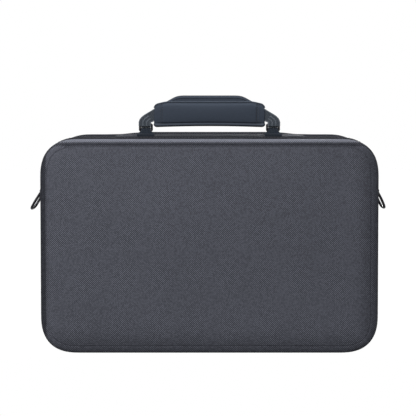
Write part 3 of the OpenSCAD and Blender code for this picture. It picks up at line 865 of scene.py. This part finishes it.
sewn = {
    "stitch": {"spacing": 3.2 * mm, "size": (2.4 * mm, 0.5 * mm, 0.45 * mm)},
    "fine": {"spacing": 2.2 * mm, "size": (1.7 * mm, 0.42 * mm, 0.4 * mm)},
    "patchMargin": 3 * mm,
}


def roundedLine(centre, halfA, halfB, radius, toPoint, steps=6):
    # a closed rounded rectangle; toPoint turns the two plane values into a place
    line = []
    for i, (a, b) in enumerate(((1, -1), (1, 1), (-1, 1), (-1, -1))):
        for k in range(steps + 1):
            t = math.pi / 2 * (i - 1 + k / steps)
            line.append(toPoint(centre[0] + a * (halfA - radius) + radius * math.cos(t),
                                centre[1] + b * (halfB - radius) + radius * math.sin(t)))
    return line + line[:1]


def makePatch():
    low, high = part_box("top_patch")
    centre = ((low.x + high.x) / 2, (low.y + high.y) / 2)
    halfX, halfY = (high.x - low.x) / 2, (high.y - low.y) / 2
    path = roundedLine(centre, halfX, halfY, 8 * mm, lambda x, y: Vector((x, y, 0)), 8)[:-1]
    loops = []
    # the lift and the inset of each loop, from the foot over the rolled edge and the sewn line to the middle
    for lift, inset in ((0, 0), (0.9, 0), (1.35, 0.15), (1.6, 0.5), (1.7, 1.1), (1.7, 3), (1.45, 4.2),
                        (1.7, 5.4),
                        (1.75, 8), (1.8, 12), (1.8, 16.9)):
        share = inset * mm / halfY
        loop = []
        for p in path:
            x = centre[0] + math.copysign(max(0, abs(p.x - centre[0]) - inset * mm), p.x - centre[0])
            y = centre[1] + (p.y - centre[1]) * (1 - share)
            loop.append(Vector((x, y, baseHigh.z + lift * mm + topRise(x, y))))
        loops.append(loop)
    loops.insert(0, [Vector((centre[0] + 0.99 * (p.x - centre[0]), centre[1], baseHigh.z + 0.05 * mm))
                     for p in loops[0]])
    made = meshFromLoops(loops, joinAt=0.3 * mm)
    piece = finishPiece("topPatch", smoothMesh(made, 60), [patchCloth], "base", ["top_patch"])
    rows = []
    for gap in (1.2 * mm, 4.5 * mm):
        gap += sewn["patchMargin"]
        row = roundedLine(centre, halfX - gap, halfY - gap, 5 * mm, lambda x, y: Vector((x, y, 0)), 6)
        row = [a.lerp(b, k / 12) for a, b in zip(row, row[1:]) for k in range(12)]
        for place in row:
            place.z = high.z - 0.05 * mm + topRise(place.x, place.y)
        rows.append(row)
    beadsOn("patchStitches", rows, sewn["stitch"], threadYarn, "base", across=(0, 0, 1))


def makeTabs():
    for side in ("left", "right"):
        node = side + "_handle_tab"
        low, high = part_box(node)
        middle = (low + high) / 2
        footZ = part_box("top_patch")[1].z
        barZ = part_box(side + "_handle_ring")[0].z + wire["handle"]
        radius = tab["inner"] + tab["thick"] / 2
        foot, neck = (high.x - low.x) / 2, tab["neck"] / 2

        def rowsOf(path):
            return [[Vector((middle.x + half * (2 * j / 12 - 1), handleY + y, z)) for j in range(13)]
                    for y, z, half in path]

        # up the front from the foot, round the bar and down behind
        rise = barZ - footZ
        front = [(-9.6, 0.04, foot), (-7.6, 0.05, foot), (-5.6, 0.10, foot * 0.98), (-4.3, 0.24, foot * 0.91),
                 (-3.5, 0.45, foot * 0.82), (-3.05, 0.68, foot * 0.74), (-2.9, 0.86, neck + 0.8 * mm)]
        path = [(y * mm, footZ + tab["thick"] / 2 + (rise - tab["thick"] / 2) * z, half)
                for y, z, half in front]
        arc = [(-radius * math.cos(t), barZ + radius * math.sin(t), neck) for t in
               (math.pi * k / 14 for k in range(15))]
        path = path + arc + [(-y, z, half) for y, z, half in path[::-1]]
        loop = ribbonMesh(rowsOf(path), tab["thick"])
        finishPiece(side + "HandleTab", loop, [tabCloth], "base", [node])
        # a second ply sewn over the neck's front
        outer = tab["inner"] + tab["thick"] + 0.55 * mm
        lap = [(-6.3, 0.30, 10.6), (-5.6, 0.38, 8.9), (-5.1, 0.48, 7.5), (-4.8, 0.60, 6.8), (-4.8, 0.72, 6.7),
               (-4.8, 0.84, 7.0)]
        lap = [(y / 4.8 * outer, footZ + rise * z, half * mm) for y, z, half in lap]
        finishPiece(side + "TabLap", ribbonMesh(rowsOf(lap), 0.9 * mm), [tabCloth], "base")
        top = footZ + tab["thick"] + 0.3 * mm
        stitches = [[Vector((middle.x + t * 10 * mm, handleY + s * 7.8 * mm, top)) for t in (-1, 0, 1)]
                    for s in (-1, 1)]
        beadsOn(side + "TabStitches", stitches, sewn["fine"], threadYarn, "base", across=(0, 0, 1))
        node = side + "_side_tab"
        low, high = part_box(node)
        way = 1 if side == "right" else -1
        middle = (low + high) / 2
        copyPiece(side + "SideTab", node, 0.5 * mm, webbing, "base", 3)
        wallX = way * (caseWidth / 2 + 1.85 * mm)
        rows = [roundedLine((middle.y, high.z - 11 * mm), 8 * mm, 8.5 * mm, 1 * mm,
                            lambda y, z: Vector((wallX, y, z)), 2)]
        for s in (-1, 1):
            rows.append([Vector((wallX, middle.y + 8 * mm * t, high.z - 11 * mm + s * 8.5 * mm * t))
                         for t in (-1, 0, 1)])
        beadsOn(side + "SideTabStitches", rows, sewn["fine"], threadYarn, "base", across=(1, 0, 0))


tab = {"thick": 2.58 * mm, "inner": 1.65 * mm, "neck": 12.6 * mm}
wire = {"handle": 1.5 * mm, "handleBend": 1.65 * mm, "side": 1.75 * mm, "sideBend": 3 * mm,
        "sideHalf": 13 * mm,
        "sideLeg": {"left": 15.5 * mm, "right": 12.5 * mm}, "sideAngle": {"left": 30.0, "right": 24.0},
        "sideTwist": 0.8 * mm}


def makeRings():
    for side in ("left", "right"):
        low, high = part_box(side + "_handle_ring")
        middle = (low + high) / 2
        line = roundedLine((middle.x, middle.z), (high.x - low.x) / 2 - wire["handle"],
                           (high.z - low.z) / 2 - wire["handle"], wire["handleBend"],
                           lambda x, z: Vector((x, middle.y, z)), 8)[:-1]
        finishPiece(side + "HandleRing", tubeMesh(line, wire["handle"], 14, True), [blackNickel], "rings",
                    [side + "_handle_ring"])
        # a D: the straight bar along Y, two legs and a half circle
        joint = frame["record"]["behaviour"]["joints"]
        pivot = Vector(next(j["pos_m"] for j in joint if j["name"] == side + "_ring_swing"))
        way = 1 if side == "right" else -1
        angle = math.radians(wire["sideAngle"][side])
        out = Vector((way * math.sin(angle), 0, -math.cos(angle)))
        across = Vector((way * math.cos(angle), 0, math.sin(angle)))
        half, leg, bend = wire["sideHalf"], wire["sideLeg"][side], wire["sideBend"]
        flat = [(bend * (1 - math.sin(math.pi / 2 * (1 - k / 6))),
                 half - bend + bend * math.sin(math.pi / 2 * k / 6))
                for k in range(7)]
        bow = [(leg + half * math.sin(t) ** 0.55, half * signed(math.cos(t), 0.7))
               for t in (math.pi * k / 24 for k in range(25))]
        mirrored = [(d, -y) for d, y in flat[::-1]]
        bar = [(0, y * (half - bend) / 4) for y in range(-3, 4)]
        # the ring is bent a little out of its plane
        line = [pivot + out * d - across * wire["sideTwist"] * y / half * min(1, d / leg) + Vector((0, y, 0))
                for d, y in flat + bow + mirrored + bar]
        finishPiece(side + "DRing", tubeMesh(line, wire["side"], 16, True), [blackNickel], side + "_ring",
                    [side + "_d_ring"])


strap = {
    "ply": 2.58 * mm,
    "inner": 1.65 * mm,         # the loop's inner radius
    "lap": 1.1 * mm,
    "columns": 12,
    "lapFrom": 4,               # the row at which the folded-back end is sewn down
    "lapDrop": 2.4 * mm,        # how far it hangs below the bar
    "edge": 0.85 * mm,          # radius of the bound edges
}


def strapLine(share):
    # one line of the webbing, share 0 at its inner edge and 1 at its outer edge: X and Z from the grip
    # down to the ring's bar, in the right half
    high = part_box("handle_strap")[1]
    ringLow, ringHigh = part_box("right_handle_ring")
    barZ, ringX = ringHigh.z - wire["handle"], (ringLow.x + ringHigh.x) / 2
    start = Vector((gripHalf - 6 * mm, high.z - 14 * mm + 14 * mm * share))
    leave = Vector((gripHalf - 1.0 * mm, high.z - 15.5 * mm + 15.4 * mm * share))
    end = Vector((ringX - 6.25 * mm + 12.5 * mm * share, barZ))
    knee = Vector((ringX - 6.6 * mm + 15.4 * mm * share, barZ + 1.6 * mm + 1.6 * mm * share))
    slope = Vector((0.81, -0.56))
    line = [start]
    count = 9
    for i in range(count + 1):
        t = i / count
        # a curve that leaves the grip on a slope and turns down to the ring
        out = leave + slope * 11 * mm * (0.35 + 0.65 * share)
        turn = knee + Vector((-0.15, 1)) * 8 * mm * (0.3 + 0.7 * share)
        a, b, c = leave.lerp(out, t), out.lerp(turn, t), turn.lerp(knee, t)
        line.append(a.lerp(b, t).lerp(b.lerp(c, t), t))
    return line + [end]


def makeHandleWebbing():
    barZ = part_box("right_handle_ring")[1].z - wire["handle"]
    wide, radius, close = strap["columns"], strap["inner"] + strap["ply"] / 2, strap["ply"] / 2
    lines = [strapLine(j / wide) for j in range(wide + 1)]
    last = len(lines[0]) - 1

    def depthAt(i):
        # the two plies lie together in the grip and part towards the ring
        t = clamped((i - 3) / (last - 4))
        return close + (radius - close) * t * t * (3 - 2 * t)

    for way, side in ((-1, "left"), (1, "right")):
        def across(i, depth):
            return [Vector((way * line[i].x, handleY + depth, line[i].y)) for line in lines]

        rows = [across(i, -depthAt(i)) for i in range(last)]
        for k in range(15):
            t = math.pi * k / 14
            rows.append([Vector((way * line[-1].x, handleY - radius * math.cos(t),
                                 barZ - radius * math.sin(t)))
                         for line in lines])
        rows += [across(i, depthAt(i)) for i in range(last - 1, -1, -1)]
        stands = ["handle_strap"] if side == "left" else []
        loop = ribbonMesh(rows, strap["ply"])
        finishPiece(side + "HandleWebbing", loop, [webbing], "handle", stands)
        # the webbing's end is folded back over its front, sewn down, and hangs over the ring's bar
        front = close + 0.1 * mm + strap["lap"] / 2
        lap = [across(i, -depthAt(i) - front) for i in range(strap["lapFrom"], last)]
        for drop, grow in ((0.2, 1.02), (0.6, 1.04), (1.0, 1.04)):
            lap.append([Vector((way * (lines[6][-1].x + (line[-1].x - lines[6][-1].x) * grow * 1.16),
                                handleY - radius - front, barZ - strap["lapDrop"] * drop)) for line in lines])
        finishPiece(side + "HandleLap", ribbonMesh(lap, strap["lap"]), [webbing], "handle")
        # ribs: the bound edges and the raised bands between them, in a lighter cloth that is a painted
        # highlight
        for name, share, first in (("InnerEdge", 0.02, 1), ("OuterEdge", 0.98, 1),
                                   ("RibA", 0.34, strap["lapFrom"]),
                                   ("RibB", 0.66, strap["lapFrom"])):
            edge = strapLine(share)
            line = []
            for i in range(first, last):
                lift = front + strap["lap"] / 2 if i >= strap["lapFrom"] else close
                line.append(Vector((way * edge[i].x, handleY - depthAt(i) - lift, edge[i].y)))
            line.append(line[-1] + Vector((0, 0, barZ - strap["lapDrop"] * 0.8 - line[-1].z)))
            finishPiece(side + name, tubeMesh(line, strap["edge"], 8), [webbingEdgeHighlight], "handle")
        stitches = []
        for share in (0.14, 0.86):
            edge = strapLine(share)
            stitches.append([Vector((way * edge[i].x, handleY - depthAt(i) - front - strap["lap"] / 2,
                                     edge[i].y))
                             for i in range(strap["lapFrom"], last)])
        beadsOn(side + "WebbingStitches", stitches, sewn["fine"], threadYarn, "handle")


makePatch()
makeTabs()
makeRings()
makeHandleWebbing()
print("stage: tabs, rings and webbing")


# The padded grip

grip = {
    "voxel": 2.0 * mm,
    "pressure": 5.0,
    "frames": 20,
    "cap": 2.2 * mm,
    "band": 11 * mm,            # sewn band at each end
    "arch": 1.5 * mm,           # how far the underside rises in its middle
    "panelTop": 327.4 * mm,
    "level": 55 * mm,           # half of the panel's level stretch, then its top edge falls to the end
    "fall": 4.4 * mm,
    "flapLevel": 33 * mm,
    "flapFoot": 61 * mm,        # where the flap's edge meets the panel's
    "hem": 5.0 * mm,
}


def cornerDrop(x, radius):
    # how far a rounded end corner falls at x
    run = abs(x) - (gripHalf - 0.6 * mm - radius)
    return 0.0 if run <= 0 else radius - math.sqrt(max(0, radius ** 2 - min(run, radius) ** 2))


def gripTop(x):
    t = clamped((abs(x) - grip["level"]) / (gripHalf - grip["level"]))
    return grip["panelTop"] - grip["fall"] * t ** 1.3 - cornerDrop(x, 5 * mm)


def gripBottom(x):
    return gripLow.z + grip["arch"] * math.cos(math.pi / 2 * x / gripHalf) + cornerDrop(x, 4 * mm)


def flapTop(x):
    run = clamped((abs(x) - grip["flapLevel"]) / (grip["flapFoot"] - grip["flapLevel"]))
    low = gripTop(x) - 1.2 * mm
    return low + (gripHigh.z - 0.35 * mm - low) * (1 + math.cos(math.pi * run ** 1.5)) / 2


def loftedPad(x0, x1, stations, lowAt, highAt, thickAt, middleY, power=2.8, around=28):
    loops = []
    for i in range(stations + 1):
        x = (x0 + x1) / 2 - (x1 - x0) / 2 * math.cos(math.pi * i / stations)
        half, height = thickAt(x) / 2, (highAt(x) - lowAt(x)) / 2
        loop = []
        for k in range(around):
            t = 2 * math.pi * k / around
            loop.append(Vector((x, middleY + half * signed(math.cos(t), 2 / power),
                                (highAt(x) + lowAt(x)) / 2 + height * signed(math.sin(t), 2 / power))))
        loops.append(loop)
    return meshFromLoops(loops, caps=True)


def inflate(mesh, settings, held):
    # cloth with pressure inside; held says which points stay
    mesh = modified(mesh, "REMESH", mode="VOXEL", voxel_size=settings["voxel"])
    start = [v.co.copy() for v in mesh.vertices]
    carrier = linked("padCarrier", mesh)
    pins = carrier.vertex_groups.new(name="held")
    for i, place in enumerate(start):
        weight = held(place)
        if weight > 0:
            pins.add([i], weight, "REPLACE")
    cloth = carrier.modifiers.new("cloth", "CLOTH")
    cloth.settings.quality = 6
    cloth.settings.mass = 0.2
    cloth.settings.use_pressure = True
    cloth.settings.uniform_pressure_force = settings["pressure"]
    cloth.settings.effector_weights.gravity = 0
    cloth.settings.vertex_group_mass = "held"
    cloth.point_cache.frame_start = 1
    cloth.point_cache.frame_end = settings["frames"]
    for step in range(1, settings["frames"] + 1):
        bpy.context.scene.frame_set(step)
    result = plainMesh(carrier)
    bpy.data.objects.remove(carrier)
    bpy.context.scene.frame_set(1)
    for vertex, place in zip(result.vertices, start):
        move = vertex.co - place
        if move.length > settings["cap"]:
            vertex.co = place + move * (settings["cap"] / move.length)
    return smoothMesh(result, 80)


def refined(mesh):
    return modified(mesh, "SUBSURF", levels=1, render_levels=1)


def makeGrip():
    half = gripHalf - 0.5 * mm
    bandFrom = gripHalf - grip["band"]

    def thick(x):
        # full in the middle, pinched where the end bands are sewn
        t = clamped((abs(x) - bandFrom + 2 * mm) / (4 * mm))
        return (14.2 - 4.4 * t * t * (3 - 2 * t)) * mm

    pad = loftedPad(-half, half, 70, lambda x: gripBottom(x) + 1.2 * mm, lambda x: gripTop(x) - 1.0 * mm,
                    thick,
                    handleY)
    pad = refined(inflate(pad, grip, lambda p: 1.0 if abs(p.x) > bandFrom + 1 * mm else 0.0))
    for vertex in pad.vertices:
        # the sewn line between each band and the padding
        near = abs(abs(vertex.co.x) - bandFrom) / (1.3 * mm)
        if near < 1:
            vertex.co.y += (handleY - vertex.co.y) * 0.2 * math.cos(math.pi / 2 * near) ** 2
    body = finishPiece("gripPad", smoothMesh(pad, 80), [gripCloth], "handle", ["handle_wrap"])

    flap = loftedPad(-half + 2 * mm, half - 2 * mm, 60, lambda x: gripBottom(x) + 16 * mm, flapTop,
                     lambda x: 5.6 * mm, handleY + 4.6 * mm, 3.2)
    piece = finishPiece("gripFlap", smoothMesh(refined(flap), 80), [gripCloth], "handle")

    xs = [-(half - 0.2 * mm) * math.cos(math.pi * i / 70) for i in range(71)]
    hem = loftedPad(-half, half, 60, gripBottom,
                    lambda x: gripBottom(x) + grip["hem"] - cornerDrop(x, 4 * mm) * 0.9,
                    lambda x: 13.2 * mm, handleY, 2.2)
    finishPiece("gripHem", smoothMesh(hem, 80), [gripHemAndHighlightCloth], "handle")

    def pinched(y):
        # a depth that follows the padding, also where the end bands pinch it
        return lambda x: y * thick(x) / thick(0)

    def hemLine(x):
        return gripBottom(x) + grip["hem"] + 0.5 * mm

    # pipings: along the panel's top, the flap's edge, the hem's seam and the lower edge
    for name, edgeAt, depth, radius, cloth, reach in (
            # the panel's top piping is in the lighter cloth, a painted highlight
            ("gripPanelEdge", lambda x: gripTop(x) - 0.6 * mm, pinched(-2.9 * mm), 0.8 * mm, gripHemAndHighlightCloth,
             1.0),
            ("gripFlapEdge", lambda x: flapTop(x) - 0.5 * mm, lambda x: 4.6 * mm, 1.0 * mm, bindingCloth,
             0.98),
            ("gripFlapSeam", lambda x: flapTop(x) - 3.0 * mm, lambda x: 1.7 * mm, 0.4 * mm, edgeCloth, 0.70),
            ("gripHemSeam", hemLine, pinched(-6.5 * mm), 0.5 * mm, edgeCloth, 0.93),
            ("gripHemSeamBack", hemLine, pinched(6.5 * mm), 0.5 * mm, edgeCloth, 0.93),
            ("gripLowEdge", lambda x: gripBottom(x) + 0.5 * mm, lambda x: 0.0, 1.1 * mm, bindingCloth, 1.0)):
        line = [Vector((x * reach, handleY + depth(x * reach), edgeAt(x * reach))) for x in xs]
        finishPiece(name, tubeMesh(line, radius, 10), [cloth], "handle")
    rows = []
    for way in (-1, 1):
        for offset in (1.8 * mm, -0.9 * mm):
            for face in (-1, 1):
                x = way * (bandFrom + offset)
                depth = (6.5 if offset < 0 else 5.3) * mm
                rows.append([Vector((x, handleY + face * depth, gripBottom(x) + 4 * mm
                                     + (gripTop(x) - gripBottom(x) - 7 * mm) * k / 8)) for k in range(9)])
    beadsOn("gripStitches", rows, sewn["stitch"], threadYarn, "handle")


makeGrip()
for node in ("wrap_hook_strip", "wrap_loop_strip"):
    bpy.data.objects[node].data.materials[0] = fastenerCloth
print("stage: grip")


# Inside: pad, straps and net pocket

inside = {
    "channels": 6,              # sewn channels across the pad
    "channelDepth": 1.6 * mm,
    "netPitch": 5 * mm,
    "netYarn": 0.55 * mm,
    "gatherPitch": 7 * mm,
    "gatherDepth": 0.5 * mm,
}


def makeBackPad():
    low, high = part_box("back_pad")
    halfX, halfZ = (high.x - low.x) / 2, (high.z - low.z) / 2
    columns, rows = 120, 70

    def thickness(x, z):
        edge = min(1, (1 - abs(x)) * halfX / (9 * mm)) * min(1, (1 - abs(z)) * halfZ / (9 * mm))
        full = math.sqrt(max(0, 1 - (1 - edge) ** 2))
        channel = abs(math.sin(math.pi * inside["channels"] * (x + 1) / 2))
        return full * (high.y - low.y) - inside["channelDepth"] * full * (1 - channel) ** 6

    made = bmesh.new()
    grid = {}
    for i in range(columns + 1):
        for j in range(rows + 1):
            x, z = 2 * i / columns - 1, 2 * j / rows - 1
            grid[i, j] = made.verts.new((x * halfX, high.y - max(0.4 * mm, thickness(x, z)),
                                         middleZ + z * halfZ))
    for i in range(columns):
        for j in range(rows):
            made.faces.new((grid[i, j], grid[i + 1, j], grid[i + 1, j + 1], grid[i, j + 1]))
    # the back of the pad lies flat on the wall
    border = bmesh.ops.extrude_edge_only(made, edges=[e for e in made.edges if e.is_boundary])["geom"]
    for vertex in [g for g in border if isinstance(g, bmesh.types.BMVert)]:
        vertex.co.y = high.y
    fillHoles(made)
    piece = finishPiece("backPad", smoothMesh(keep(made), 60), [liningCloth], "base", ["back_pad"])


def makeConsoleStraps():
    for side in ("left", "right"):
        node = side + "_console_strap"
        low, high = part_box(node)
        copyPiece(side + "ConsoleStrap", node, 0.35 * mm, webbing, "base")
        middle = (low + high) / 2
        front = high.y - 2 * 1.6 * mm - 0.03 * mm
        rows = [[Vector((middle.x + 17 * mm * s, front, middleZ + 28 * mm * t)) for t in (-1, 0, 1)]
                for s in (-1, 1)]
        rows.append([Vector((middle.x + 17 * mm * t, front, middleZ - 28 * mm)) for t in (-1, 0, 1)])
        beadsOn(side + "ConsoleStitches", rows, sewn["fine"], threadYarn, "base")


def makePocket():
    low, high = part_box("lid_pocket_net")
    pitch = inside["netPitch"]
    columns, rows = round((high.x - low.x) / pitch), round((high.z - low.z) / pitch)
    radius = 18 * mm
    made = bmesh.new()
    grid = {}
    panelY = high.y - 0.6 * mm

    def bulged(x, z):
        u, v = 2 * x / (high.x - low.x), (z - low.z) / (high.z - low.z)
        return Vector((x, panelY - 1.2 * mm * (1 - u * u) * math.sin(math.pi * v * 0.8), z))

    for i in range(columns + 1):
        for j in range(rows + 1):
            x, z = low.x + (high.x - low.x) * i / columns, low.z + (high.z - low.z) * j / rows
            outX, outZ = abs(x) - (high.x - radius), low.z + radius - z
            if not (outX > 0 and outZ > 0 and math.hypot(outX, outZ) > radius):
                grid[i, j] = made.verts.new(bulged(x, z))
    for i in range(columns):
        for j in range(rows):
            corners = [grid.get(k) for k in ((i, j), (i + 1, j), (i + 1, j + 1), (i, j + 1))]
            if None not in corners:
                made.faces.new(corners)
    # the gusset goes back to the lid along both sides and the bottom
    rim = [e for e in made.edges if e.is_boundary and not all(abs(v.co.z - high.z) < 1e-6 for v in e.verts)]
    for step in range(2):
        grown = bmesh.ops.extrude_edge_only(made, edges=rim)["geom"]
        for vertex in [g for g in grown if isinstance(g, bmesh.types.BMVert)]:
            vertex.co.y += (low.y + 0.3 * mm - vertex.co.y) / (2 - step)
        rim = [g for g in grown if isinstance(g, bmesh.types.BMEdge)]
    bmesh.ops.poke(made, faces=made.faces)
    bmesh.ops.join_triangles(made, faces=made.faces, angle_face_threshold=3.2, angle_shape_threshold=3.2)
    mesh = modified(keep(made), "WIREFRAME", thickness=inside["netYarn"], use_even_offset=False)
    finishPiece("pocketNet", smoothMesh(mesh), [netYarn], "lid", ["lid_pocket_net"])


def makeHem():
    low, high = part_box("lid_pocket_hem")
    count = 300
    loops = []
    for i in range(count + 1):
        x = low.x + (high.x - low.x) * i / count
        ripple = inside["gatherDepth"] * math.sin(2 * math.pi * x / inside["gatherPitch"])
        loop = []
        for k in range(12):
            t = 2 * math.pi * k / 12
            loop.append(Vector((x, (low.y + high.y) / 2 + ripple * 0.6 + 1.1 * mm * signed(math.cos(t), 0.7),
                                (low.z + high.z) / 2 + (5 * mm + ripple * 0.4) * signed(math.sin(t), 0.7))))
        loops.append(loop)
    mesh = smoothMesh(meshFromLoops(loops, caps=True), 60)
    finishPiece("pocketHem", mesh, [elasticCloth], "lid", ["lid_pocket_hem"])


makeBackPad()
makeConsoleStraps()
makePocket()
makeHem()
print("stage: inside")
